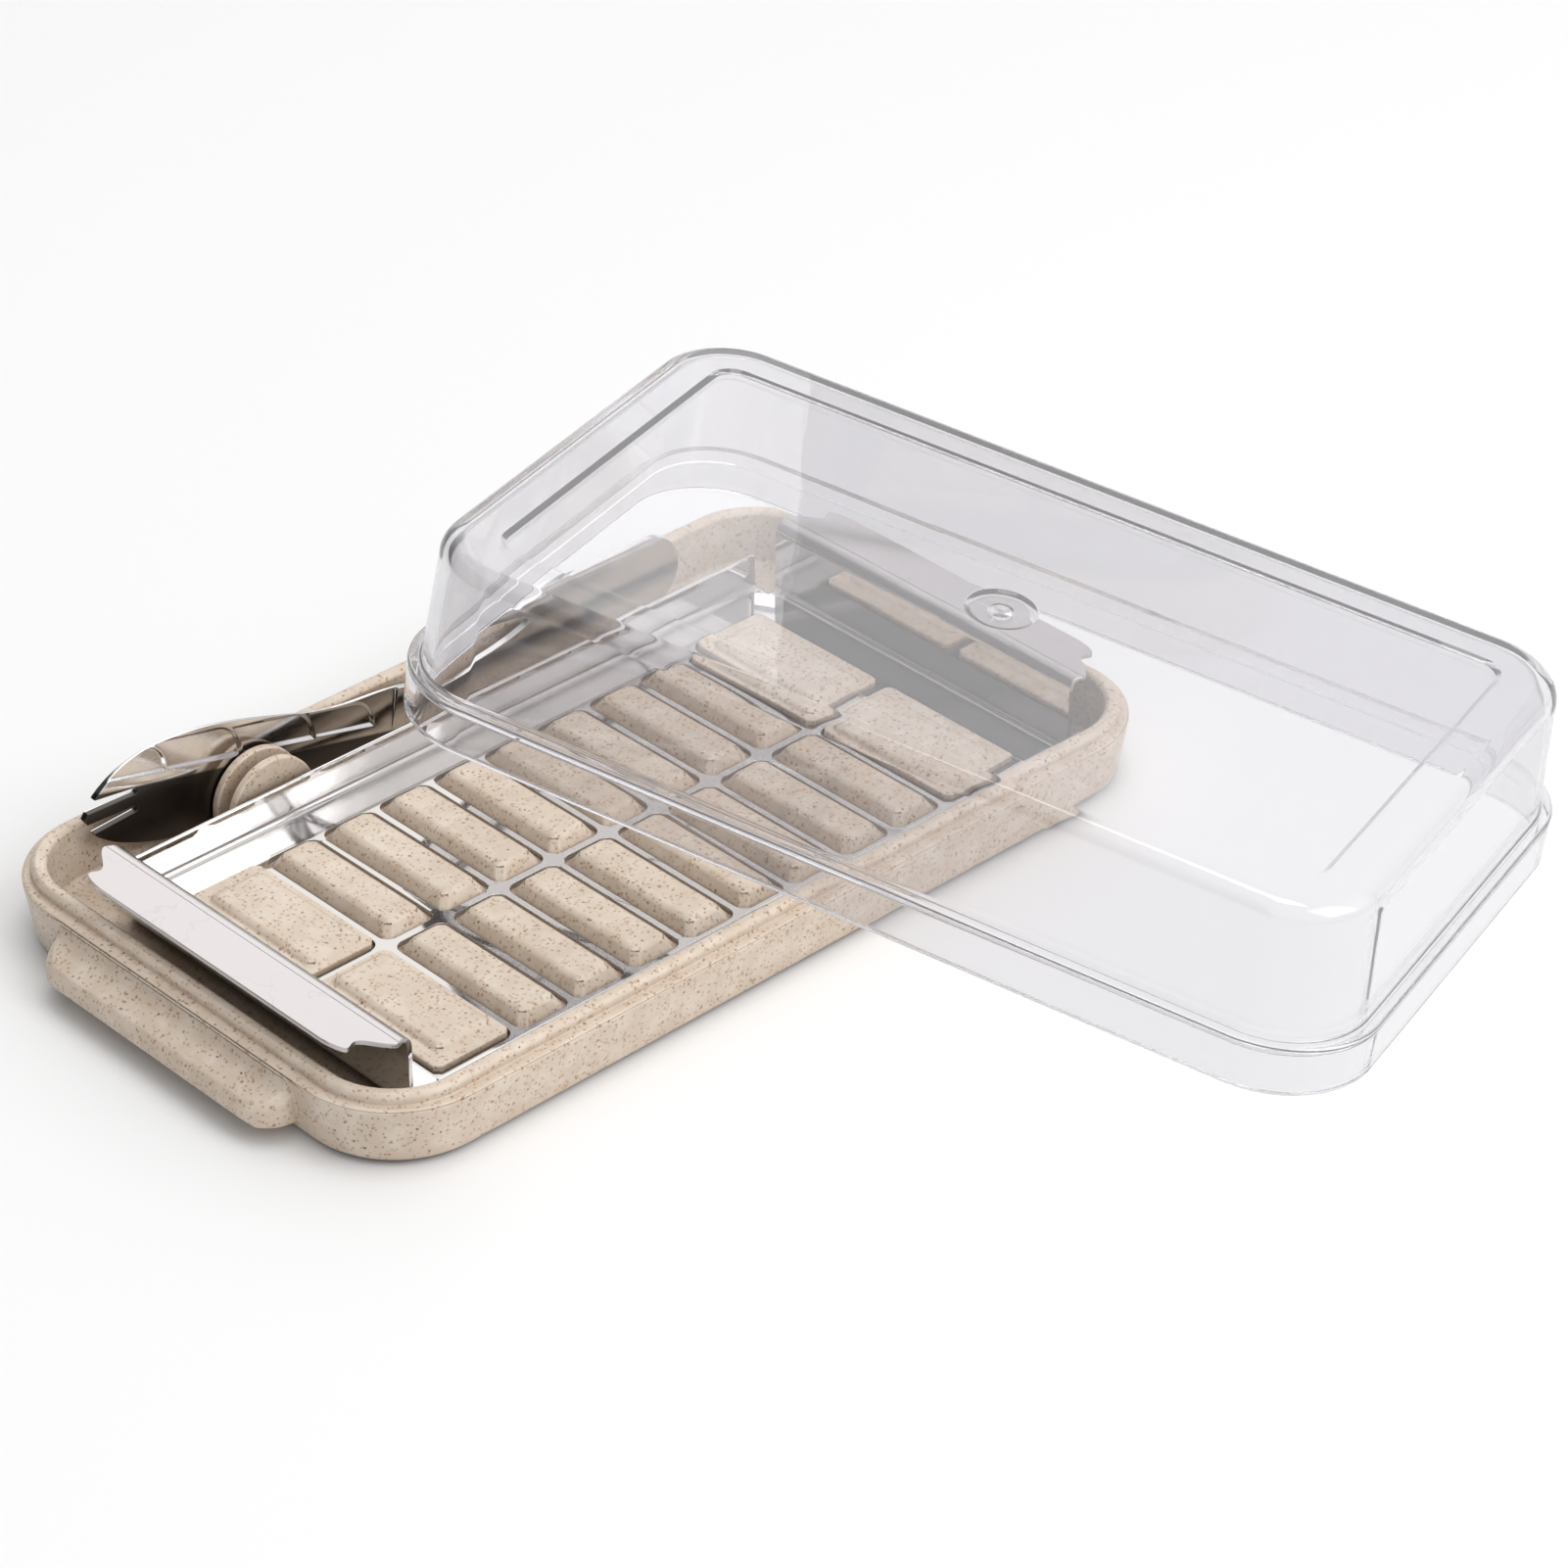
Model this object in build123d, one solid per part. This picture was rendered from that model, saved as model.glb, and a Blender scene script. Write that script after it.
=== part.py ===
"""Butter dish with a cutter: a moulded tray, a stamped cutter grid, a knife and a clear lid.

Millimetres, +Z up. The origin is the centre of the tray's flat underside. X runs along the tray,
and the knife's bay is on the +Y side. The cutter and the knife lie in their places in the tray,
and the lid leans on the tray's rim with one corner on the table.
"""
import os
from math import acos, asin, atan2, cos, degrees, radians, sin, sqrt, tan

from build123d import *

# Cutter grid
row_count = 10
row_pitch = 11.0
end_row_pitch = 16.06
bar_width = 1.0
spine_width = 1.2
window_width = 29.0
window_radius = 2.0
end_margin = 7.34
side_margin = 7.4
sheet = 0.8
bend_radius = 1.2
rail_height = 6.8
end_wall_half = 33.0
end_wall_height = 13.7
rail_relief = 2.4
ogee_tangents = ((1, 0.1), (0.1, -1))
ogee_offsets = ((2.1, 0.4), (4.2, -2.0), (6.2, -4.1), (9.1, -7.9))

# Tray
floor_thickness = 2.3
pad_height = 1.1
pad_clearance = 1.0
pad_corner = 2.0
rim_wall = 2.4
rim_height = 12.3
rim_corner = 13.8
rim_bevel = 0.6
ledge_width = 2.0
ledge_corner = 17.0
ledge_drop = 1.8
ledge_bevel = 0.4
wall_lean = 1.6
foot_bevel = 1.2
cavity_draft = 0.4
cavity_bevel = 1.0
rail_clearance = 1.36
knife_bay = 9.84
flange_overhang = 0.5
seat_gap = 0.05

# Butter bed blocks
block_gap = 0.5
block_rise = 1.7
block_slope = 1.5
block_rounding = 0.5
block_corner = 0.9
step_width = 1.5
step_drop = 0.9

# Handle tabs at the tray's ends
tab_width = 54.0
tab_reach = 5.4
tab_root_top = 7.4
tab_edge_top = 6.2
tab_underside = 2.8
tab_corner = 6.0
tab_bevel = 1.0
tab_hollow = 2.2

# Upright discs that hold the knife
disc_x = -33.9
disc_radius = 8.0
disc_thickness = 1.4
disc_spacing = 2.4
disc_rail_gap = 1.44
disc_centre_rise = 3.6

# Knife
knife_thickness = 1.2
knife_disc_gap = 0.2
knife_floor_gap = 0.4
knife_tip_x = -65.3
knife_length = 120.3
handle_height = 13.4
blade_height = 18.8
waist_x = 71.0
waist_top = 7.2
waist_bottom = 2.2
grip_x = 88.6
grip_top = 11.1
grip_bottom = 1.2
knife_edge_points = ((2.3, 14.8), (7.4, 17.7), (16.6, blade_height), (31.4, 15.9), (50.3, 10.3), (61.1, 9.0))
knife_back_points = ((54.0, 1.2), (36.0, 0.0), (20.0, 0.8), (1.9, 8.3))
middle_tip = (0.0, 11.8)
tine_slots = (((9.5, 13.0), (-1.0, 13.9)), ((9.3, 9.9), (-1.0, 9.8)))
tine_gap = 1.1
bevel_angle = 5.5
bevel_slope = 13.4
bevel_start = 16.1
bevel_length = 61.0
hollow_start = 2.6
hollow_ends = ((15.6, 4.6), (30.2, 5.2), (44.8, 4.9), (57.0, 4.5))
hollow_depth = 0.3
hollow_tilt = 0.7
hollow_flank = 0.5
hollow_border = 1.5
ridge_width = 0.35

# Lid
lid_wall = 1.8
skirt_overhang = 0.6
skirt_height = 8.2
skirt_corner = 16.5
skirt_step = 2.1
lid_height = 30.0
lid_lean = 1.4
shoulder_rounding = 3.2
inner_shoulder_bevel = 1.15
panel_inset = 9.2
panel_depth = 0.4
panel_corner = 3.0
gate_diameter = 11.0
gate_depth = 0.5
gate_nub = 3.2

# Where the lid leans
lid_rim_gap = 0.1
lid_near_touch_x = 1.7
lid_far_touch_y = 17.5
lid_touch_from_centre = 4.9
lid_corner_angle = 23.0

# How far one form reaches into the next where they are joined
joint_depth = 1.0

# Sizes that follow from the ones above
field_half = end_row_pitch + (row_count - 2) * row_pitch / 2
window_reach = spine_width / 2 + window_width
rail_half = window_reach + side_margin
end_wall_x = field_half + end_margin
flange_reach = end_wall_x + ogee_offsets[-1][0]
cavity_length = 2 * (flange_reach - flange_overhang)
cavity_width = rail_clearance + 2 * rail_half + knife_bay
spine_y = rail_clearance + rail_half - cavity_width / 2
rim_length = cavity_length + 2 * rim_wall
rim_width = cavity_width + 2 * rim_wall
ledge_length = rim_length + 2 * ledge_width
ledge_breadth = rim_width + 2 * ledge_width
ledge_height = rim_height - ledge_drop
pad_top = floor_thickness + pad_height
sheet_bottom = pad_top + seat_gap
sheet_top = sheet_bottom + sheet
block_top = sheet_top + block_rise
skirt_length = ledge_length + 2 * skirt_overhang
skirt_width = ledge_breadth + 2 * skirt_overhang
disc_front = spine_y + rail_half + disc_rail_gap
disc_back = disc_front + 2 * disc_thickness + disc_spacing
knife_front = disc_back + knife_disc_gap
knife_bottom = floor_thickness + knife_floor_gap


def rounded_slab(length, width, radius, bottom, height, taper=0.0):
    """An upright slab with rounded corners, centred on the origin. A positive taper narrows it upwards."""
    base = RectangleRounded(length, width, radius)
    return Pos(0, 0, bottom) * extrude(base, height, taper=taper)


def edges_at(shape, height):
    """The edges of a shape that lie wholly at one height."""
    return shape.edges().filter_by_position(Axis.Z, height - 0.001, height + 0.001)


def row_centres():
    """Each row's centre along X and its pitch, from the near end to the far one."""
    pitches = [end_row_pitch] + [row_pitch] * (row_count - 2) + [end_row_pitch]
    x = -field_half
    rows = []
    for pitch in pitches:
        rows.append((x + pitch / 2, pitch))
        x += pitch
    return rows


def tray_shell():
    """The tray's outer wall, ledge and upright rim, hollowed out down to the floor."""
    lean = degrees(atan2(wall_lean, ledge_height))
    shell = rounded_slab(
        ledge_length - 2 * wall_lean, ledge_breadth - 2 * wall_lean, ledge_corner - wall_lean,
        0, ledge_height, -lean,
    )
    shell = chamfer(edges_at(shell, 0), foot_bevel)
    shell = chamfer(edges_at(shell, ledge_height), ledge_bevel)
    shell += rounded_slab(
        rim_length, rim_width, rim_corner, ledge_height - joint_depth, ledge_drop + joint_depth
    )
    depth = rim_height - floor_thickness
    cavity = rounded_slab(
        cavity_length - 2 * cavity_draft, cavity_width - 2 * cavity_draft,
        rim_corner - rim_wall - cavity_draft,
        floor_thickness, depth, -degrees(atan2(cavity_draft, depth)),
    )
    cavity = chamfer(edges_at(cavity, floor_thickness), cavity_bevel)
    shell -= cavity
    return chamfer(edges_at(shell, rim_height), rim_bevel)


def handle_tab():
    """The +X handle tab: a lip that dips from the ledge in a hollow curve, with its brim bevelled."""
    edge = ledge_length / 2
    root = edge - ledge_width - rim_wall
    tip = edge + tab_reach
    valley = (edge + tab_hollow, tab_root_top)
    slope = (tab_hollow - tab_reach, tab_root_top - tab_edge_top)
    dip = TangentArc(valley, (edge, ledge_height - ledge_bevel), tangent=slope)
    outline = Polyline(
        dip @ 1, (root, ledge_height - ledge_bevel), (root, tab_underside), (tip - tab_bevel, tab_underside),
        (tip, tab_underside + tab_bevel), (tip, tab_edge_top), valley,
    )
    lip = extrude(Plane.XZ * make_face([dip, outline]), tab_width / 2, both=True)
    lip &= extrude(RectangleRounded(2 * tip, tab_width, tab_corner), rim_height)
    brim = lip.edges().group_by(Axis.X)[-1].sort_by(Axis.Z)[-1]
    return chamfer(brim, tab_bevel)


def bed_block(length, width):
    """One butter bed block, centred on the origin: sloping sides, and its corners and top edge taken off."""
    height = block_top - pad_top
    block = extrude(Rectangle(length, width), height, taper=degrees(atan2(block_slope, height)))
    block = chamfer(block.edges().filter_by_position(Axis.Z, height / 3, 2 * height / 3), block_corner)
    block = Pos(0, 0, pad_top) * block
    return chamfer(edges_at(block, block_top), block_rounding)


def bed():
    """The raised pad under the cutter and the blocks that stand up through its windows."""
    bend_reach = sheet + bend_radius + pad_clearance
    base = Pos(0, spine_y, 0) * rounded_slab(
        2 * (end_wall_x - bend_reach), 2 * (rail_half - bend_reach), pad_corner,
        floor_thickness - joint_depth, pad_height + joint_depth,
    )
    width = window_width - 2 * block_gap
    middle_block = bed_block(row_pitch - bar_width - 2 * block_gap, width)
    end_length = end_row_pitch - bar_width - 2 * block_gap
    step = extrude(Rectangle(end_length, width), block_top - step_drop - pad_top)
    step = Pos(0, 0, pad_top) * chamfer(step.edges().filter_by(Axis.Z), block_corner)
    end_block = bed_block(end_length - step_width, width - step_width)
    blocks = []
    for x, pitch in row_centres():
        for side in (-1, 1):
            place = Pos(x, spine_y + side * (spine_width + window_width) / 2, 0)
            if pitch == row_pitch:
                blocks.append(place * middle_block)
            else:
                inwards = -1 if x > 0 else 1
                nudge = Pos(inwards * step_width / 2, -side * step_width / 2, 0)
                blocks.append(place * (step + nudge * end_block))
    return base + blocks


def knife_disc(front):
    """One upright disc with its foot in the floor, its front face at the given Y."""
    centre = floor_thickness + disc_centre_rise
    outline = Pos(disc_x, centre) * Circle(disc_radius)
    foot_height = centre - floor_thickness / 2
    foot = Pos(disc_x, centre - foot_height / 2) * Rectangle(2 * disc_radius, foot_height)
    upper = Pos(disc_x, centre - foot_height + disc_radius) * Rectangle(2 * disc_radius, 2 * disc_radius)
    back_plane = Plane.XZ.offset(-front - disc_thickness)
    return extrude(back_plane * ((outline & upper) + foot), disc_thickness)


def base_tray():
    """The tray, moulded in one with its handle tabs, butter bed and knife discs."""
    tab = handle_tab()
    tray = tray_shell()
    inner = Pos(0, 0, rim_height) * Box(cavity_length, cavity_width, 2 * rim_height)
    tray += (tab - inner) + (mirror(tab, Plane.YZ) - inner)
    tray += bed()
    for front in (disc_front, disc_front + disc_thickness + disc_spacing):
        tray += knife_disc(front)
    return tray


def sheet_strip(points, plane, half_width):
    """A strip of bent sheet: its centre line through the points, drawn in a plane, pushed out both ways."""
    centre_line = FilletPolyline(*points, radius=bend_radius + sheet / 2)
    return extrude(plane * trace(centre_line, sheet), half_width, both=True)


def flange_plan():
    """Half of the cutter's plan outline, +X end: straight sides, then the flange's curved corners."""
    wave = [(end_wall_x + along, end_wall_half + out) for along, out in ogee_offsets]
    upper = Line((0, end_wall_half), (end_wall_x, end_wall_half))
    corner = Spline(upper @ 1, *wave, tangents=ogee_tangents)
    side = [upper, corner]
    other = [mirror(edge, Plane.XZ) for edge in side]
    closing = [
        Line(corner @ 1, (flange_reach, -(corner @ 1).Y)),
        Line((0, end_wall_half), (0, -end_wall_half)),
    ]
    return make_face(side + other + closing)


def cutter():
    """The cutter: one stamped sheet with two rows of windows, upturned rails and flanged end walls."""
    low = sheet_bottom + sheet / 2
    rail_y = rail_half - sheet / 2
    rail_top = sheet_bottom + rail_height
    rails = sheet_strip(
        [(-rail_y, rail_top), (-rail_y, low), (rail_y, low), (rail_y, rail_top)],
        Plane.YZ, end_wall_x - rail_relief,
    )
    wall_x = end_wall_x - sheet / 2
    high = sheet_bottom + end_wall_height - sheet / 2
    near_wall = [(-flange_reach, high), (-wall_x, high), (-wall_x, low)]
    far_wall = [(wall_x, low), (wall_x, high), (flange_reach, high)]
    ends = sheet_strip(near_wall + far_wall, Plane.XZ, rail_half)
    plan = extrude(flange_plan(), 2 * end_wall_height)
    ends &= plan + mirror(plan, Plane.YZ)
    grid = rails + ends
    windows = []
    for x, pitch in row_centres():
        for side in (-1, 1):
            window = RectangleRounded(pitch - bar_width, window_width, window_radius)
            place = Pos(x, side * (spine_width + window_width) / 2, 0)
            windows.append(place * extrude(window, sheet_top + sheet))
    return Pos(0, spine_y, 0) * (grid - windows)


def knife_outline():
    """The knife's side view: tines at the left, the cutting edge on top, then waist and handle."""
    round_end = handle_height / 2
    end_x = knife_length - round_end
    low = waist_top - round_end
    edge = Spline(
        *knife_edge_points, (waist_x, waist_top), (grip_x, grip_top), (end_x, low + handle_height),
        tangents=((1, 0.8), (1, 0)),
    )
    end = ThreePointArc(edge @ 1, (knife_length, low + round_end), (end_x, low))
    back = Spline(
        end @ 1, (grip_x, grip_bottom), (waist_x, waist_bottom), *knife_back_points,
        tangents=((-1, 0), (-1, 1)),
    )
    front = Polyline(knife_back_points[-1], middle_tip, knife_edge_points[0])
    blank = make_face([edge, end, back, front])
    for root, mouth in tine_slots:
        slot = Polyline(
            (root[0], root[1] + tine_gap / 2), (mouth[0], mouth[1] + tine_gap),
            (mouth[0], mouth[1] - tine_gap), (root[0], root[1] - tine_gap / 2), close=True,
        )
        blank -= make_face(slot) + Pos(*root) * Circle(tine_gap / 2)
    return blank


def hollow_outline(left, right, height, margin):
    """A hollow's outline, grown by a margin: flat foot, and the right end rounded off to the full height."""
    low, left, right = -margin, left - margin, right + margin
    high = height + margin
    turn = high - low
    corner = CenterArc((right - turn, low), turn, 0, 90)
    return make_face([corner, Polyline(corner @ 1, (left, high), (left, low), corner @ 0)])


def hollow(left, right, height):
    """One hollow of the ground face. It deepens to the right and ends at a curved ridge."""
    middle = Pos((left + right) / 2, 0, 0)
    low = Pos(0, 0, -hollow_depth) * hollow_outline(left, right, height, -hollow_flank)
    high = Pos(0, 0, hollow_depth) * hollow_outline(left, right, height, hollow_flank)
    solid = loft([low, high], ruled=True)
    return middle * Rot(0, hollow_tilt, 0) * middle.inverse() * solid


def knife():
    """The knife: a sheet blank with a ground bevel and slanted hollows along its cutting edge."""
    blank = extrude(Plane.XZ * knife_outline(), -knife_thickness)
    slope = radians(bevel_slope)
    face = Plane(origin=(0, 0, bevel_start), x_dir=(cos(slope), 0, -sin(slope)), z_dir=(0, -1, 0))
    section = Plane(origin=face.origin, x_dir=face.y_dir, z_dir=face.x_dir)
    edge_depth = blade_height * tan(radians(bevel_angle))
    wedge = Polyline((0, 0), (blade_height, 0), (blade_height, -edge_depth), close=True)
    blank -= extrude(section * make_face(wedge), bevel_length)
    ground = face * Rot(-bevel_angle, 0, 0) * Pos(0, hollow_border, 0)
    left = hollow_start
    before = None
    for right, height in hollow_ends:
        cut = hollow(left, right, height)
        if before:
            ridge = hollow_outline(*before, hollow_flank / 2 + ridge_width)
            cut -= extrude(Pos(0, 0, -blade_height) * ridge, 2 * blade_height)
        blank -= ground * cut
        before = (left, right, height)
        left = right - height
    return Pos(knife_tip_x, knife_front, knife_bottom) * blank


def lid_body():
    """The lid in its own frame: skirt edge at height 0, long side along X."""
    body_length = skirt_length - 2 * skirt_step
    body_width = skirt_width - 2 * skirt_step
    body_corner = skirt_corner - skirt_step
    lean = degrees(atan2(lid_lean, lid_height - skirt_height))
    shell = rounded_slab(skirt_length, skirt_width, skirt_corner, 0, skirt_height)
    rise = lid_height - skirt_height
    upper = rounded_slab(
        body_length, body_width, body_corner, skirt_height - joint_depth, rise + joint_depth, lean
    )
    upper = fillet(edges_at(upper, lid_height), shoulder_rounding)
    shell += upper
    hollow = rounded_slab(
        skirt_length - 2 * lid_wall, skirt_width - 2 * lid_wall, skirt_corner - lid_wall,
        0, skirt_height - lid_wall,
    )
    inside = rounded_slab(
        body_length - 2 * lid_wall, body_width - 2 * lid_wall, body_corner - lid_wall,
        skirt_height - lid_wall - joint_depth, rise + joint_depth, lean,
    )
    inside = chamfer(edges_at(inside, lid_height - lid_wall), inner_shoulder_bevel)
    shell -= hollow + inside
    top_inset = 2 * (lid_lean + panel_inset)
    panel = rounded_slab(
        body_length - top_inset, body_width - top_inset, panel_corner,
        lid_height - panel_depth, panel_depth,
    )
    shell -= panel
    gate = Pos(0, 0, lid_height - panel_depth - gate_depth) * (
        Cylinder(gate_diameter / 2, gate_depth, align=(Align.CENTER, Align.CENTER, Align.MIN))
        - Cylinder(gate_nub / 2, gate_depth, align=(Align.CENTER, Align.CENTER, Align.MIN))
    )
    return shell - gate


def lid_place():
    """Where the lid leans: its inner skirt edges touch the rim at two points, its corner the table.

    Both rim points are at one height, so the line between them is level, and the lid tips about it
    until the rounded corner comes down to the table.
    """
    touch_height = rim_height + lid_rim_gap
    near = Vector(lid_near_touch_x, -rim_width / 2, touch_height)
    far = Vector(rim_length / 2, lid_far_touch_y, touch_height)
    inner_half = skirt_width / 2 - lid_wall
    level = (far - near).normalized()
    span = (far - near).length
    turn = acos(-sqrt(span ** 2 - (2 * inner_half) ** 2) / span)
    angle = radians(lid_corner_angle)
    corner_u = skirt_length / 2 - skirt_corner + skirt_corner * cos(angle) + lid_touch_from_centre
    corner_v = skirt_width / 2 - skirt_corner + skirt_corner * sin(angle) + inner_half
    reach = corner_u * sin(turn) - corner_v * cos(turn)
    tip = asin(touch_height / reach)
    down = Vector(level.Y * cos(tip), -level.X * cos(tip), -sin(tip))
    along = level * cos(turn) + down * sin(turn)
    across = level * sin(turn) - down * cos(turn)
    centre = near + along * lid_touch_from_centre + across * inner_half
    return Plane(origin=centre, x_dir=along, z_dir=along.cross(across))


def lid():
    """The clear lid, leaning on the tray."""
    return lid_place() * lid_body()


def main():
    """Writes one STEP file for each piece."""
    os.makedirs("parts", exist_ok=True)
    pieces = {
        "base_tray": base_tray(),
        "cutter": cutter(),
        "knife": knife(),
        "lid": lid(),
    }
    for name, shape in pieces.items():
        shape.label = name
        export_step(shape, f"parts/{name}.step")


main()
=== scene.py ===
"""The butter dish's looks: finishes, the clear lid's own mesh, studio light and the camera."""
from math import cos, pi, radians, sin, tan

import bmesh
import bpy
from mathutils import Matrix, Quaternion, Vector


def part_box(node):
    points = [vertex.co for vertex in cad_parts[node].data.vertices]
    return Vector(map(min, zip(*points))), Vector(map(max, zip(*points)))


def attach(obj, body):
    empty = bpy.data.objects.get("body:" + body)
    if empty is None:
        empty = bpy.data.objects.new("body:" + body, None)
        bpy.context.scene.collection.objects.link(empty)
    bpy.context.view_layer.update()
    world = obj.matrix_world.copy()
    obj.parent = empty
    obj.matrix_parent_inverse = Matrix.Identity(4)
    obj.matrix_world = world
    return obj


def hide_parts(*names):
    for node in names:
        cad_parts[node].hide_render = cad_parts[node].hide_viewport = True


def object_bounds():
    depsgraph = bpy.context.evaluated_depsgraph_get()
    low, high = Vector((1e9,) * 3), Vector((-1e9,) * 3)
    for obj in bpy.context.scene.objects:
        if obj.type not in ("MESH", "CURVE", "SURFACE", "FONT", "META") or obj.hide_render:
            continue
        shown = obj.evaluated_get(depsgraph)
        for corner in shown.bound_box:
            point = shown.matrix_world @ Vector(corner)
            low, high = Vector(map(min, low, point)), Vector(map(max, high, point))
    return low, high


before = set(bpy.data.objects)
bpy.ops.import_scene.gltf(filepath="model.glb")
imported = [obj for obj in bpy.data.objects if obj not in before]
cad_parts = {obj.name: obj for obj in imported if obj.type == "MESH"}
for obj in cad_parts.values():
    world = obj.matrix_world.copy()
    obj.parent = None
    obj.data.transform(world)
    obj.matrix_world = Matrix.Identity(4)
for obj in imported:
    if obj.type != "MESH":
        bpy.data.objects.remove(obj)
CAD_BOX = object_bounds()
MM = 0.001

# The photograph's view: where the camera looks, in metres and degrees
IMAGE_SIDE = 1601
FOCAL_PIXELS = 5259.0
SENSOR_WIDTH = 36.0
VIEW_TARGET = Vector((0.03324, -0.00839, 0.0))
VIEW_AZIMUTH = 45.97
VIEW_ELEVATION = 33.44
VIEW_ROLL = 0.53
VIEW_DISTANCE = 0.80418

# Which way the studio's dark screen stands
DARK_SCREEN = (-0.695, 0.719, 0.0)

# Colours, as linear values
BLACK = (0, 0, 0, 1)
WHITE = (1, 1, 1, 1)
TRAY_BASE = (0.585, 0.485, 0.39, 1)
TRAY_PALE = (0.655, 0.565, 0.475, 1)
# painted shade for the tray's recesses
TRAY_SHADE = (0.36, 0.24, 0.155, 1)
SPECK_TAN = (0.38, 0.215, 0.11, 1)
SPECK_BROWN = (0.24, 0.115, 0.05, 1)
SPECK_DARK = (0.045, 0.028, 0.02, 1)
# painted shade, near black, for the tray's narrowest gaps
TRAY_CREVICE_SHADE = (0.06, 0.042, 0.033, 1)
STEEL = (0.76, 0.745, 0.73, 1)
STEEL_SATIN = (0.52, 0.495, 0.49, 1)
# painted shade: a darker copy of the steel for the cutter's bar field
STEEL_BARS_SHADE = (0.46, 0.44, 0.42, 1)
# painted shade on the steel; also the faint colour of the flange's real scratches
STEEL_SHADE_AND_SCRATCH = (0.16, 0.145, 0.135, 1)
# painted dark reflection for the flat of the knife's blade
STEEL_DARK_REFLECTION = (0.09, 0.08, 0.075, 1)
CLEAR = (0.82, 0.812, 0.834, 1)
FLOOR_TONE = (0.83, 0.83, 0.83, 1)

# The tray's flecks: a cell's size in metres, a grain's radius as a share of it, the share of cells with a grain,
# the colour, and how strong it is
FLECKS = (
    (0.0010, 0.36, 0.55, SPECK_TAN, 0.45),
    (0.0007, 0.36, 0.50, SPECK_TAN, 0.8),
    (0.0011, 0.28, 0.42, SPECK_BROWN, 0.75),
    (0.0017, 0.15, 0.16, SPECK_DARK, 0.85),
)

# How far the painted shade in each crevice, in each recess and beside the knife's discs reaches into the surface, in
# metres
TRAY_HOLLOW_REACH = 0.005
TRAY_CREVICE_REACH = 0.0025
STEEL_CREVICE_REACH = 0.0028
DISC_SHADE_REACH = 0.005

# How rough each surface is
TRAY_ROUGHNESS = 0.36
CUTTER_ROUGHNESS = 0.06
FLANGE_ROUGHNESS = 0.28
KNIFE_ROUGHNESS = 0.11
BLADE_FLAT_ROUGHNESS = 0.3
FLOOR_ROUGHNESS = 0.9

# The clear plastic's haze, as what is left of its clearness, and its refraction
LID_CLEARNESS = 0.93
LID_IOR = 1.5

# The cutter's bar field, where the steel is painted darker as shade: its middle and half its length and width. Then
# where its satin flanges begin
FIELD_MIDDLE = (0.0, -0.00424)
FIELD_HALF = (0.0600, 0.0302)
FLANGE_LEVEL = 0.0158

# The knife's ground face: its border's start and slope. Then how deep its polished back reaches in from the far side
GROUND_START = (-0.0653, 0.0188)
GROUND_SLOPE = 13.4
KNIFE_BACK_SKIN = 0.0003

# Half the width of a border between two finishes, in metres
BORDER_BLEND = 0.0002

# Edge roundings of the CAD pieces in millimetres, and the angles in degrees that make a plane and an edge
TRAY_ROUNDING = 0.28
CUTTER_ROUNDING = 0.3
KNIFE_ROUNDING = 0.1
WELD_GAP = 0.002
PLANE_ANGLE = 0.3
EDGE_ANGLE = 25.0
ROUNDING_STEPS = 3

# The lid's section, in millimetres from its outer skirt edge inwards and from its rim upwards
LID_WALL = 1.8
SKIRT_HEIGHT = 8.2
SKIRT_CORNER = 16.5
SKIRT_STEP = 2.1
LID_HEIGHT = 30.0
LID_LEAN = 1.4
SHOULDER_ROUNDING = 3.2
PANEL_INSET = 12.7
PANEL_CORNER = 3.0
PANEL_DEPTH = 0.6
PANEL_SLOPE = 35.0
PANEL_ROUNDING = 0.15
GATE_RADIUS = 5.5
GATE_DEPTH = 0.5
NUB_RADIUS = 1.6
EDGE_ROUNDING = 0.3
CORNER_STEPS = 20

# The studio: where the lamps aim, then each lamp's name, place, side length and power, in metres and watts
LAMP_TARGET = (0.03, -0.02, 0.0)
LAMPS = (
    ("key", (0.26, -0.80, 0.80), 0.7, 3.6),
    ("top", (0.10, -0.06, 1.2), 0.5, 2.3),
    ("right", (0.75, -0.80, 0.72), 0.8, 0.8),
    ("back", (0.756, 0.934, 0.811), 0.62, 0.9),
)
WORLD_STRENGTH = 1.05
HORIZON_TONE = (0.52, 0.52, 0.53, 1)
SKY_TONE = (1.0, 1.0, 1.0, 1)
SCREEN_TONE = (0.05, 0.05, 0.05, 1)
FLOOR_SIDE = 6.0
FLOOR_GAP = 0.0002


def grey(level):
    """A neutral colour of one level."""
    return (level, level, level, 1)


def new_material(name):
    """A node material with one Principled shader, ready to be wired."""
    material = bpy.data.materials.new(name)
    material.use_nodes = True
    return material, material.node_tree, material.node_tree.nodes["Principled BSDF"]


def add_node(tree, kind, settings=None, inputs=None):
    """One node of a kind, with its settings and its socket values."""
    node = tree.nodes.new(kind)
    for key, value in (settings or {}).items():
        setattr(node, key, value)
    for key, value in (inputs or {}).items():
        node.inputs[key].default_value = value
    return node


def ramp(tree, source, low, high, colors=(BLACK, WHITE)):
    """A colour ramp between two places on a source value."""
    node = tree.nodes.new("ShaderNodeValToRGB")
    for element, place, color in zip(node.color_ramp.elements, (low, high), colors):
        element.position = place
        element.color = color
    tree.links.new(source, node.inputs["Fac"])
    return node.outputs["Color"]


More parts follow.
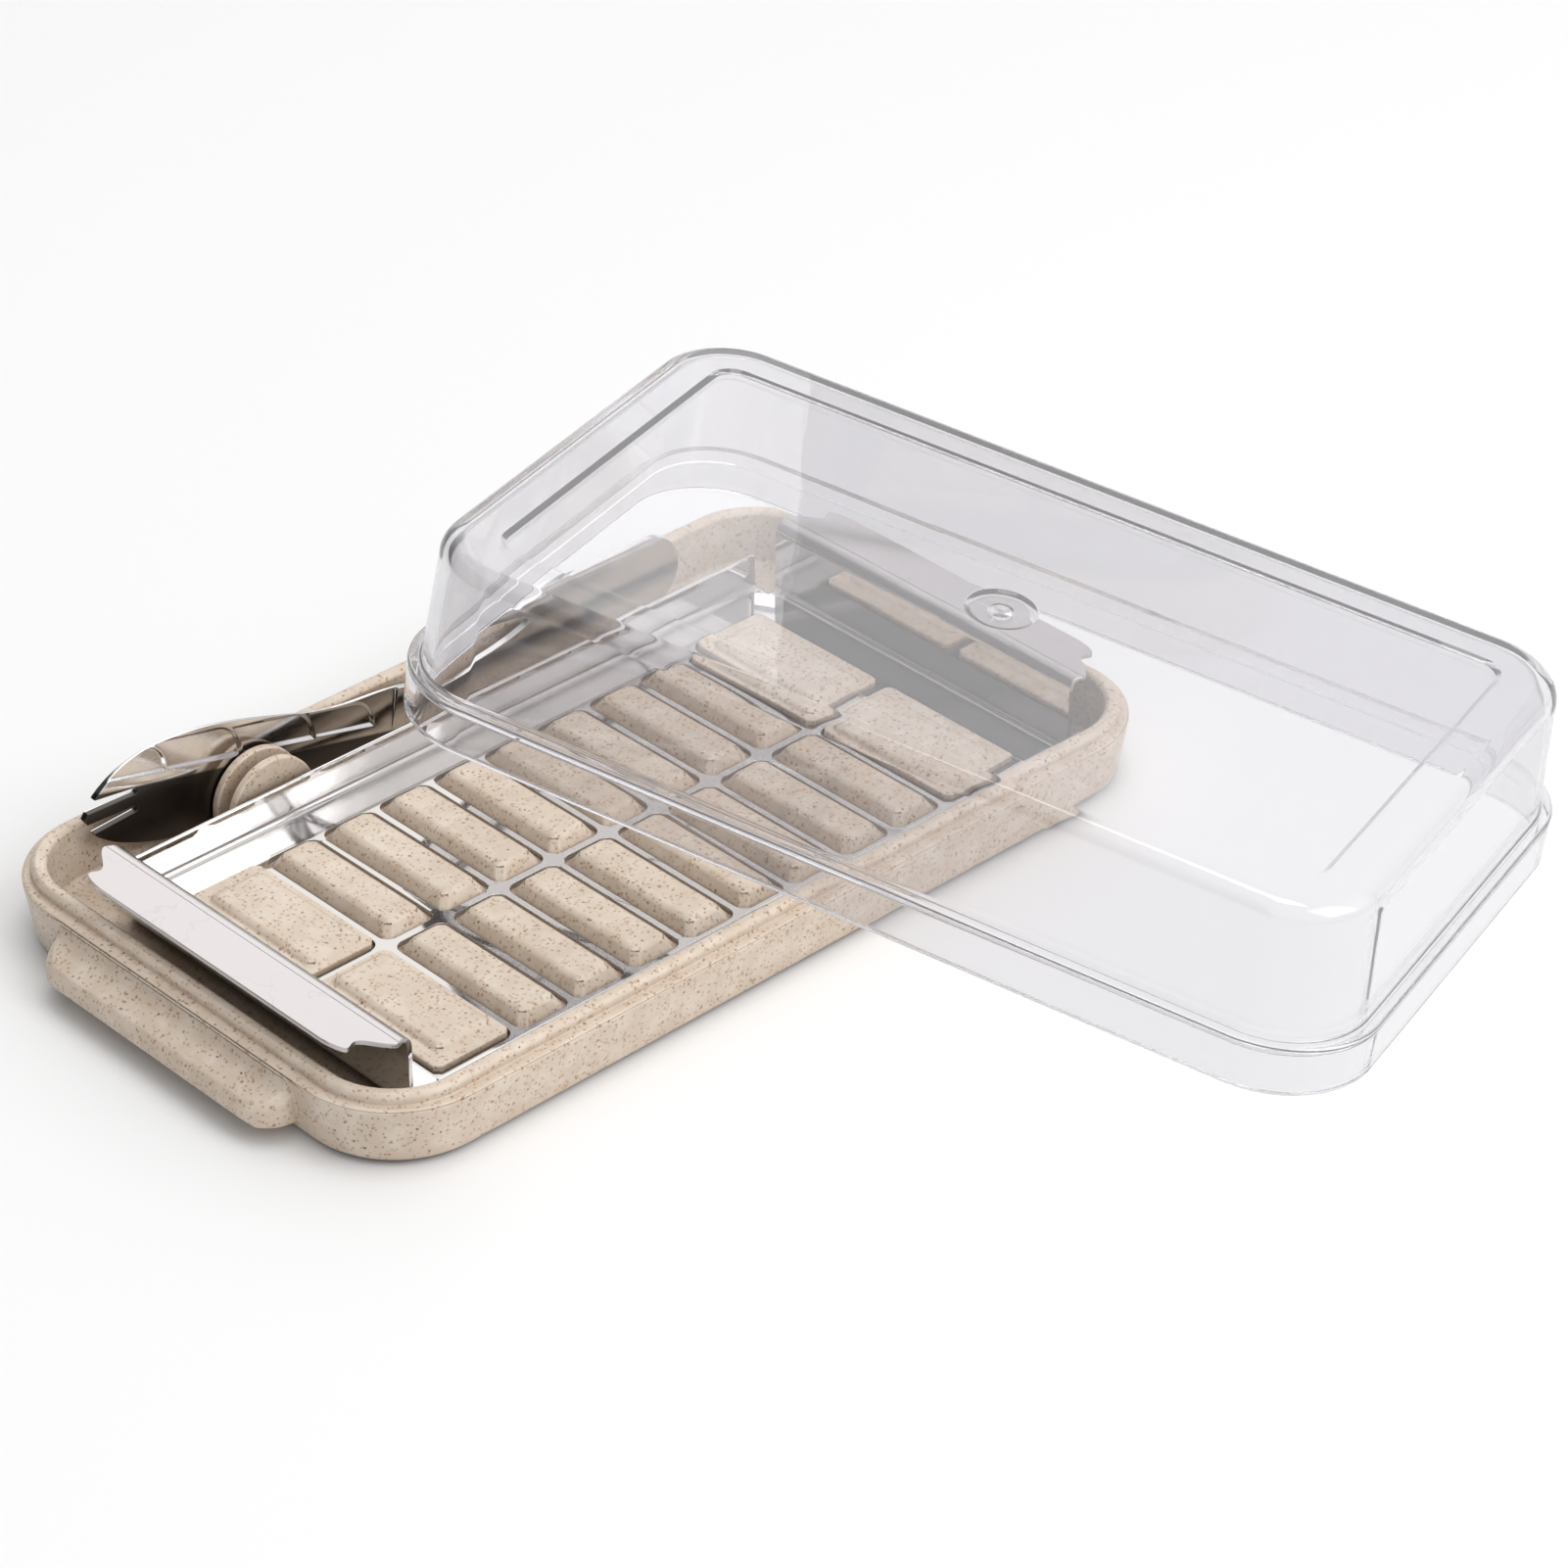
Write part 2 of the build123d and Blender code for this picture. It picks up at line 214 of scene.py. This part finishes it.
def mix(tree, factor, first, second):
    """A colour mix. first and second are sockets or plain colours."""
    node = add_node(tree, "ShaderNodeMix", {"data_type": "RGBA"})
    tree.links.new(factor, node.inputs["Factor"])
    for name, value in (("A", first), ("B", second)):
        socket = [item for item in node.inputs if item.name == name and item.type == "RGBA"][0]
        if isinstance(value, tuple):
            socket.default_value = value
        else:
            tree.links.new(value, socket)
    return [item for item in node.outputs if item.type == "RGBA"][0]


def noise(tree, place, scale, detail=3.0, roughness=0.55):
    """A noise pattern's value."""
    node = add_node(tree, "ShaderNodeTexNoise", inputs={"Scale": scale, "Detail": detail, "Roughness": roughness})
    tree.links.new(place, node.inputs["Vector"])
    return node.outputs["Fac"]


def bend_place(tree, place, scale, amount):
    """Coordinates pushed about by a noise, so that what is drawn on them gets uneven edges."""
    wander = add_node(tree, "ShaderNodeTexNoise", inputs={"Scale": scale, "Detail": 2.0})
    tree.links.new(place, wander.inputs["Vector"])
    push = add_node(tree, "ShaderNodeVectorMath", {"operation": "MULTIPLY_ADD"})
    tree.links.new(wander.outputs["Color"], push.inputs[0])
    push.inputs[1].default_value = (amount, amount, amount)
    tree.links.new(place, push.inputs[2])
    return push.outputs[0]


def grains(tree, place, size, radius, share):
    """A mask of grains: cells of a size in metres, of which only a share hold a grain."""
    cells = add_node(tree, "ShaderNodeTexVoronoi", {"feature": "F1"}, {"Scale": 1 / size, "Randomness": 1.0})
    tree.links.new(place, cells.inputs["Vector"])
    near = ramp(tree, cells.outputs["Distance"], radius * 0.5, radius, (WHITE, BLACK))
    lottery = add_node(tree, "ShaderNodeSeparateColor")
    tree.links.new(cells.outputs["Color"], lottery.inputs["Color"])
    chosen = ramp(tree, lottery.outputs["Red"], 1 - share - 0.01, 1 - share)
    both = add_node(tree, "ShaderNodeMath", {"operation": "MULTIPLY"})
    tree.links.new(near, both.inputs[0])
    tree.links.new(chosen, both.inputs[1])
    return both.outputs[0]


def share_of(tree, source, share):
    """A value scaled down to a share of itself."""
    node = add_node(tree, "ShaderNodeMath", {"operation": "MULTIPLY"})
    tree.links.new(source, node.inputs[0])
    node.inputs[1].default_value = share
    return node.outputs[0]


def open_sky(tree, reach):
    """How open a spot is within a reach in metres, 0 deep in a crevice and 1 on a free face."""
    node = add_node(tree, "ShaderNodeAmbientOcclusion", {"samples": 6}, {"Distance": reach})
    return node.outputs["AO"]


def above_line(tree, place, start, slope):
    """A mask that is 1 above a slanting line in the XZ plane, start in metres and slope in degrees."""
    split = add_node(tree, "ShaderNodeSeparateXYZ")
    tree.links.new(place, split.inputs[0])
    rise = add_node(tree, "ShaderNodeMath", {"operation": "MULTIPLY_ADD"})
    tree.links.new(split.outputs["X"], rise.inputs[0])
    rise.inputs[1].default_value = tan(radians(slope))
    tree.links.new(split.outputs["Z"], rise.inputs[2])
    edge = add_node(tree, "ShaderNodeMapRange")
    tree.links.new(rise.outputs[0], edge.inputs["Value"])
    level = start[1] + start[0] * tan(radians(slope))
    edge.inputs["From Min"].default_value = level - BORDER_BLEND
    edge.inputs["From Max"].default_value = level + BORDER_BLEND
    return edge.outputs["Result"]


def inside_box(tree, place, middle, half_size):
    """A mask that is 1 inside an upright box of a middle and half sizes in X and Y, in metres."""
    split = add_node(tree, "ShaderNodeSeparateXYZ")
    tree.links.new(place, split.inputs[0])
    both = add_node(tree, "ShaderNodeMath", {"operation": "MULTIPLY"})
    for i, axis in enumerate("XY"):
        within = add_node(tree, "ShaderNodeMath", {"operation": "COMPARE"})
        tree.links.new(split.outputs[axis], within.inputs[0])
        within.inputs[1].default_value = middle[i]
        within.inputs[2].default_value = half_size[i]
        tree.links.new(within.outputs[0], both.inputs[i])
    return both.outputs[0]


def beyond(tree, place, axis, level):
    """A mask that is 1 where a place lies past a level on one axis, in metres."""
    split = add_node(tree, "ShaderNodeSeparateXYZ")
    tree.links.new(place, split.inputs[0])
    past = add_node(tree, "ShaderNodeMath", {"operation": "GREATER_THAN"})
    tree.links.new(split.outputs[axis], past.inputs[0])
    past.inputs[1].default_value = level
    return past.outputs[0]


def bump(tree, shader, height, strength, distance):
    """A bump from a height value."""
    node = add_node(tree, "ShaderNodeBump", inputs={"Strength": strength, "Distance": distance})
    tree.links.new(height, node.inputs["Height"])
    tree.links.new(node.outputs["Normal"], shader.inputs["Normal"])


def tray_plastic():
    """Beige moulded plastic filled with plant fibre: pale clouds, tan and brown flecks, a few dark grains, and
    painted shade that darkens its recesses and, near black, its narrowest gaps.
    """
    material, tree, shader = new_material("tray_plastic")
    place = tree.nodes.new("ShaderNodeTexCoord").outputs["Object"]
    uneven = bend_place(tree, place, 1500.0, 0.0006)
    tone = mix(tree, ramp(tree, noise(tree, place, 260.0, 5.0), 0.42, 0.66), TRAY_BASE, TRAY_PALE)
    for size, radius, share, color, depth in FLECKS:
        mask = ramp(tree, grains(tree, uneven, size, radius, share), 0.0, 1.0, (BLACK, grey(depth)))
        tone = mix(tree, mask, tone, color)
    # Painted shade: the colour turns a darker brown where the surface is closed in, and near black in the narrowest
    # gaps
    hollow_shade = ramp(tree, open_sky(tree, TRAY_HOLLOW_REACH), 0.25, 0.8, (WHITE, BLACK))
    shaded = mix(tree, share_of(tree, hollow_shade, 0.5), tone, TRAY_SHADE)
    crevice_shade = ramp(tree, open_sky(tree, TRAY_CREVICE_REACH), 0.22, 0.5, (WHITE, BLACK))
    shaded = mix(tree, share_of(tree, crevice_shade, 0.85), shaded, TRAY_CREVICE_SHADE)
    tree.links.new(shaded, shader.inputs["Base Color"])
    shader.inputs["Roughness"].default_value = TRAY_ROUGHNESS
    shader.inputs["Specular IOR Level"].default_value = 0.42
    bump(tree, shader, noise(tree, place, 1800.0), 0.10, 0.0001)
    return material


def steel(name, roughness, stretch, scratch):
    """Bright stainless sheet with fine rolling lines along one direction, and what its two pieces differ by."""
    material, tree, shader = new_material(name)
    shader.inputs["Metallic"].default_value = 1.0
    place = tree.nodes.new("ShaderNodeTexCoord").outputs["Object"]
    mapping = add_node(tree, "ShaderNodeMapping", inputs={"Scale": stretch})
    tree.links.new(place, mapping.inputs["Vector"])
    lines = noise(tree, mapping.outputs["Vector"], 400.0, 3.0, 0.5)
    rough = ramp(tree, lines, 0.35, 0.7, (grey(roughness * 0.6), grey(roughness * 1.5)))
    bump(tree, shader, lines, scratch, 0.00003)
    return material, tree, shader, place, rough


def cutter_steel():
    """The cutter: mirror-bright sheet with painted shade in each crevice and a darker painted shade over its bar
    field, and satin flanges that carry faint scratches.
    """
    material, tree, shader, place, rough = steel("cutter_steel", CUTTER_ROUGHNESS, (1, 12, 1), 0.012)
    cloudy = ramp(tree, noise(tree, place, 70.0), 0.35, 0.7, (STEEL, tuple(0.94 * c for c in STEEL[:3]) + (1,)))
    # Painted shade: the steel is darkened in each crevice
    crevice_shade = ramp(tree, open_sky(tree, STEEL_CREVICE_REACH), 0.45, 0.92, (WHITE, BLACK))
    bright = mix(tree, share_of(tree, crevice_shade, 0.8), cloudy, STEEL_SHADE_AND_SCRATCH)
    # Painted shade: the whole bar field is coloured darker than the rest of the same sheet
    bar_field_shade = inside_box(tree, place, FIELD_MIDDLE, FIELD_HALF)
    bright = mix(tree, bar_field_shade, bright, STEEL_BARS_SHADE)
    flange = above_line(tree, place, (0.0, FLANGE_LEVEL), 0.0)
    cells = add_node(tree, "ShaderNodeTexVoronoi", {"feature": "DISTANCE_TO_EDGE"}, {"Scale": 55.0})
    tree.links.new(bend_place(tree, place, 120.0, 0.02), cells.inputs["Vector"])
    scratches = ramp(tree, cells.outputs["Distance"], 0.004, 0.012, (grey(0.1), BLACK))
    satin = mix(tree, scratches, STEEL_SATIN, STEEL_SHADE_AND_SCRATCH)
    tree.links.new(mix(tree, flange, bright, satin), shader.inputs["Base Color"])
    tree.links.new(mix(tree, flange, rough, grey(FLANGE_ROUGHNESS)), shader.inputs["Roughness"])
    return material


def knife_steel():
    """The knife: polished where it is ground and on its back; below, the flat of the blade is rougher and its colour
    is painted dark as a reflection of shade, with painted shade near the discs.
    """
    material, tree, shader, place, rough = steel("knife_steel", KNIFE_ROUGHNESS, (1, 1, 12), 0.02)
    polished = add_node(tree, "ShaderNodeMath", {"operation": "MAXIMUM"})
    tree.links.new(above_line(tree, place, GROUND_START, GROUND_SLOPE), polished.inputs[0])
    tree.links.new(beyond(tree, place, "Y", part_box("knife")[1][1] - KNIFE_BACK_SKIN), polished.inputs[1])
    ground = polished.outputs[0]
    # Painted shade: the steel darkens where it lies close to the discs, as if it mirrored their shaded backs
    disc_shade = ramp(tree, open_sky(tree, DISC_SHADE_REACH), 0.5, 0.95, (WHITE, BLACK))
    bright = mix(tree, share_of(tree, disc_shade, 0.7), STEEL, STEEL_SHADE_AND_SCRATCH)
    # Painted reflection: below the ground border the flat of the blade is coloured dark, as if it mirrored shade
    tree.links.new(mix(tree, ground, STEEL_DARK_REFLECTION, bright), shader.inputs["Base Color"])
    tree.links.new(mix(tree, ground, grey(BLADE_FLAT_ROUGHNESS), rough), shader.inputs["Roughness"])
    return material


def clear_plastic():
    """Clear moulded plastic with a faint cool tint, polished."""
    material, tree, shader = new_material("lid_clear")
    place = tree.nodes.new("ShaderNodeTexCoord").outputs["Object"]
    shader.inputs["Base Color"].default_value = CLEAR
    shader.inputs["Transmission Weight"].default_value = LID_CLEARNESS
    shader.inputs["IOR"].default_value = LID_IOR
    rough = ramp(tree, noise(tree, place, 60.0), 0.4, 0.8, (BLACK, grey(0.03)))
    tree.links.new(rough, shader.inputs["Roughness"])
    bump(tree, shader, noise(tree, place, 45.0, 1.0), 0.05, 0.0005)
    return material


def floor_material():
    """Pale matt studio floor."""
    material, tree, shader = new_material("studio_floor")
    shader.inputs["Base Color"].default_value = FLOOR_TONE
    shader.inputs["Roughness"].default_value = FLOOR_ROUGHNESS
    return material


def dress(node, material, rounding, measured="OFFSET"):
    """Gives a CAD node its material, and rounds its edges by a little, in millimetres measured one of two ways."""
    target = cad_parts[node]
    for slot in target.material_slots:
        slot.material = material
    weld = target.modifiers.new("weld", "WELD")
    weld.merge_threshold = WELD_GAP * MM
    planes = target.modifiers.new("planes", "DECIMATE")
    planes.decimate_type = "DISSOLVE"
    planes.angle_limit = radians(PLANE_ANGLE)
    soften = target.modifiers.new("soften", "BEVEL")
    soften.width = rounding * MM
    soften.offset_type = measured
    soften.segments = ROUNDING_STEPS
    soften.limit_method = "ANGLE"
    soften.angle_limit = radians(EDGE_ANGLE)
    soften.use_clamp_overlap = False
    target.modifiers.new("flats", "WEIGHTED_NORMAL")


def lid_axes():
    """The lid's own axes and the middle of its rim, read off the CAD lid's flat faces."""
    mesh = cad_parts["lid"].data
    areas = {}
    for face in mesh.polygons:
        key = tuple(round(value, 3) for value in face.normal)
        areas[key] = areas.get(key, 0) + face.area
    ordered = [Vector(key).normalized() for key in sorted(areas, key=areas.get, reverse=True)]
    up = [axis for axis in ordered if axis.z > 0.7][0]
    across = [axis for axis in ordered if abs(axis.dot(up)) < 0.01][0]
    across = (across - up * across.dot(up)).normalized()
    along = across.cross(up)
    turned = Matrix((along, across, up))
    places = [turned @ vertex.co for vertex in mesh.vertices]
    middle = [(min(spot[i] for spot in places) + max(spot[i] for spot in places)) / 2 for i in (0, 1)]
    rim = min(spot.z for spot in places)
    half_length, half_width = (max(spot[i] for spot in places) - middle[i] for i in (0, 1))
    centre = turned.transposed() @ Vector((*middle, rim))
    return Matrix.Translation(centre) @ turned.transposed().to_4x4(), half_length / MM, half_width / MM


def rounded_ring(half_length, half_width, corner, height):
    """The points of one rounded rectangle, in millimetres."""
    points = []
    for quarter, (side_x, side_y) in enumerate(((1, 1), (-1, 1), (-1, -1), (1, -1))):
        for step in range(CORNER_STEPS + 1):
            angle = (quarter + step / CORNER_STEPS) * pi / 2
            x = side_x * (half_length - corner) + corner * cos(angle)
            y = side_y * (half_width - corner) + corner * sin(angle)
            points.append((x, y, height))
    return points


def arc(inset, height, radius, start, stop, steps=6):
    """Points on a section's arc about a centre, each as an inset and a height."""
    turns = [radians(start + (stop - start) * i / steps) for i in range(steps + 1)]
    return [(inset + radius * cos(turn), height + radius * sin(turn)) for turn in turns]


def lid_section():
    """The lid's outer and inner section lines, from the rim to the panel and from the rim to the ceiling."""
    slope = LID_LEAN / (LID_HEIGHT - SKIRT_HEIGHT)
    round_ = EDGE_ROUNDING
    top_inset = SKIRT_STEP + LID_LEAN
    radius = SHOULDER_ROUNDING
    outer = arc(round_, round_, round_, 270, 180, 3)
    outer += arc(2 * round_, SKIRT_HEIGHT - 2 * round_, 2 * round_, 180, 90)
    outer += arc(SKIRT_STEP - 2 * round_, SKIRT_HEIGHT + 2 * round_, 2 * round_, 270, 360)
    outer += arc(top_inset + radius * (1 - slope), LID_HEIGHT - radius, radius, 178, 90, 14)
    crisp, turn = PANEL_ROUNDING, radians(PANEL_SLOPE)
    straight = (PANEL_DEPTH - 2 * crisp * (1 - cos(turn))) / tan(turn)
    reach = crisp * sin(turn) + straight / 2
    outer += arc(PANEL_INSET - reach, LID_HEIGHT - crisp, crisp, 90, 90 - PANEL_SLOPE, 4)
    outer += arc(PANEL_INSET + reach, LID_HEIGHT - PANEL_DEPTH + crisp, crisp, 270 - PANEL_SLOPE, 270, 4)
    under = SKIRT_HEIGHT - LID_WALL
    radius = SHOULDER_ROUNDING - LID_WALL / 2
    inner = arc(LID_WALL - round_, round_, round_, 270, 360, 3)
    inner += arc(LID_WALL + round_, under - round_, round_, 180, 90, 4)
    inner += arc(SKIRT_STEP + LID_WALL - round_, under + round_, round_, 270, 360, 4)
    inner += arc(top_inset + LID_WALL + radius, LID_HEIGHT - LID_WALL - radius, radius, 178, 90, 12)
    return outer, inner


def lid_mesh(half_length, half_width):
    """The lid as rings that follow its section, closed over the panel and under the ceiling."""
    def ring(inset, height, corner=None):
        if corner is None:
            corner = max(SKIRT_CORNER - inset, PANEL_CORNER)
        return rounded_ring(half_length - inset, half_width - inset, corner, height)

    outer, inner = lid_section()
    floor = LID_HEIGHT - PANEL_DEPTH
    gate = [
        (GATE_RADIUS + EDGE_ROUNDING, floor), (GATE_RADIUS, floor - 0.1), (GATE_RADIUS - 0.4, floor - GATE_DEPTH),
        (GATE_RADIUS - 1.2, floor - 0.9 * GATE_DEPTH), (NUB_RADIUS + 0.6, floor - 0.75 * GATE_DEPTH),
        (NUB_RADIUS + 0.2, floor - 0.6 * GATE_DEPTH), (NUB_RADIUS, floor - 0.1), (0.6 * NUB_RADIUS, floor + 0.05),
        (0.2 * NUB_RADIUS, floor - 0.15),
    ]
    rings = [rounded_ring(radius, radius, 0.99 * radius, height) for radius, height in reversed(gate)]
    rings += [ring(inset, height) for inset, height in reversed(outer)]
    rings += [ring(inset, height) for inset, height in inner]
    rings.append(ring(2 * PANEL_INSET, LID_HEIGHT - LID_WALL))
    mesh = bmesh.new()
    loops = [[mesh.verts.new(point) for point in points] for points in rings]
    count = len(loops[0])
    for first, second in zip(loops, loops[1:]):
        for i in range(count):
            j = (i + 1) % count
            mesh.faces.new((first[i], first[j], second[j], second[i]))
    mesh.faces.new(loops[0][::-1])
    mesh.faces.new(loops[-1])
    bmesh.ops.recalc_face_normals(mesh, faces=mesh.faces)
    for face in mesh.faces:
        face.smooth = True
    return mesh


def add_lid(material):
    """The clear lid in the CAD lid's place, with its roundings."""
    place, half_length, half_width = lid_axes()
    mesh = lid_mesh(half_length, half_width)
    data = bpy.data.meshes.new("clear_lid")
    mesh.to_mesh(data)
    mesh.free()
    data.transform(place @ Matrix.Scale(MM, 4))
    data.materials.append(material)
    lid = bpy.data.objects.new("clear_lid", data)
    bpy.context.collection.objects.link(lid)
    lid.modifiers.new("flats", "WEIGHTED_NORMAL")
    lid.visible_shadow = False
    lid.visible_diffuse = False
    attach(lid, "lid")
    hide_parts("lid")


def add_floor():
    """A wide pale floor under the dish."""
    low = CAD_BOX[0][2]
    bpy.ops.mesh.primitive_plane_add(size=FLOOR_SIDE, location=(0, 0, low - FLOOR_GAP))
    floor = bpy.context.object
    floor.name = "studio_floor"
    floor.data.materials.append(floor_material())


def add_light(name, place, size, power):
    """One soft square light, turned to the dish."""
    data = bpy.data.lights.new(name, "AREA")
    data.size = size
    data.energy = power
    light = bpy.data.objects.new(name, data)
    bpy.context.collection.objects.link(light)
    light.location = place
    light.rotation_mode = "QUATERNION"
    light.rotation_quaternion = (Vector(LAMP_TARGET) - Vector(place)).to_track_quat("-Z", "Y")


def add_world():
    """Surroundings of a white studio: bright above, dim along the horizon, with a dark screen on one side."""
    world = bpy.data.worlds.new("studio")
    bpy.context.scene.world = world
    world.use_nodes = True
    tree = world.node_tree
    background = tree.nodes["Background"]
    direction = tree.nodes.new("ShaderNodeTexCoord").outputs["Generated"]
    split = add_node(tree, "ShaderNodeSeparateXYZ")
    tree.links.new(direction, split.inputs[0])
    tone = ramp(tree, split.outputs["Z"], 0.08, 0.42, (HORIZON_TONE, SKY_TONE))
    facing = add_node(tree, "ShaderNodeVectorMath", {"operation": "DOT_PRODUCT"})
    tree.links.new(direction, facing.inputs[0])
    facing.inputs[1].default_value = DARK_SCREEN
    screen = ramp(tree, facing.outputs["Value"], 0.42, 0.62)
    tree.links.new(mix(tree, screen, tone, SCREEN_TONE), background.inputs["Color"])
    background.inputs["Strength"].default_value = WORLD_STRENGTH


def add_camera():
    """The camera at the photograph's viewing angle."""
    azimuth, elevation, roll = radians(VIEW_AZIMUTH), radians(VIEW_ELEVATION), radians(VIEW_ROLL)
    forward = Vector((cos(azimuth) * cos(elevation), sin(azimuth) * cos(elevation), -sin(elevation)))
    data = bpy.data.cameras.new("photo_view")
    data.sensor_width = SENSOR_WIDTH
    data.lens = FOCAL_PIXELS / IMAGE_SIDE * SENSOR_WIDTH
    data.clip_start = 0.05
    camera = bpy.data.objects.new("photo_view", data)
    bpy.context.collection.objects.link(camera)
    camera.location = VIEW_TARGET - forward * VIEW_DISTANCE
    camera.rotation_mode = "QUATERNION"
    camera.rotation_quaternion = forward.to_track_quat("-Z", "Y") @ Quaternion((0, 0, 1), roll)
    bpy.context.scene.camera = camera


def main():
    """Builds the looks, then the stage."""
    dress("base_tray", tray_plastic(), TRAY_ROUNDING)
    dress("cutter", cutter_steel(), CUTTER_ROUNDING, "ABSOLUTE")
    dress("knife", knife_steel(), KNIFE_ROUNDING)
    add_lid(clear_plastic())
    add_floor()
    add_world()
    for lamp in LAMPS:
        add_light(*lamp)
    add_camera()
    bpy.context.scene.view_settings.view_transform = "Standard"


main()
